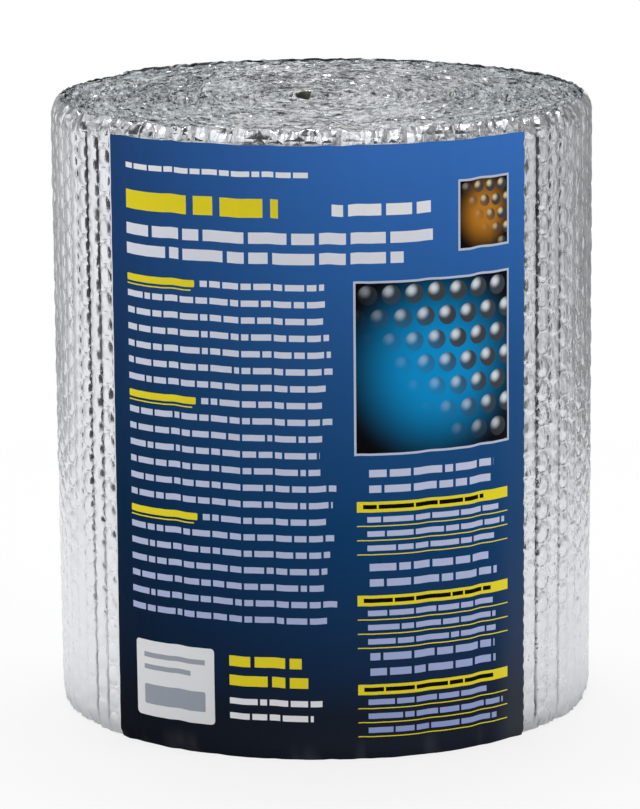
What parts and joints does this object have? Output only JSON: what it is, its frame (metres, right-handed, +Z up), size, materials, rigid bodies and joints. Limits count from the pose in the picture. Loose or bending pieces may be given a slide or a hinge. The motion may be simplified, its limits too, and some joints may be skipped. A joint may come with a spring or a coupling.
{
  "type": "roll of foil-faced bubble duct insulation",
  "caption": "Free-standing roll of foil-faced double-bubble web for wrapping ducts, wound on itself with no core tube, with a printed label and a taped end.",
  "frame": {"origin": "on the ground under the middle of the box round the standing roll", "axes": "+Z up along the roll's winding axis, -Y towards the middle of the label, +X to the right of someone who reads the label"},
  "size_m": [0.2678, 0.272, 0.3048],
  "materials": {
    "foil": "gloss",
    "backing_film": "satin",
    "bubble_film": "gloss",
    "centre_film": "satin",
    "label_print": "gloss",
    "glue": "matte",
    "tape": "gloss"
  },
  "bodies": {
    "root": {"outer_foil": "foil", "outer_backing_film": "backing_film", "outer_bubble_film": "bubble_film", "centre_film": "centre_film", "inner_bubble_film": "bubble_film", "inner_backing_film": "backing_film", "inner_foil": "foil", "label_sheet": "label_print", "label_glue_left": "glue", "label_glue_right": "glue", "tail_tape_upper": "tape", "tail_tape_lower": "tape"}
  },
  "joints": []
}
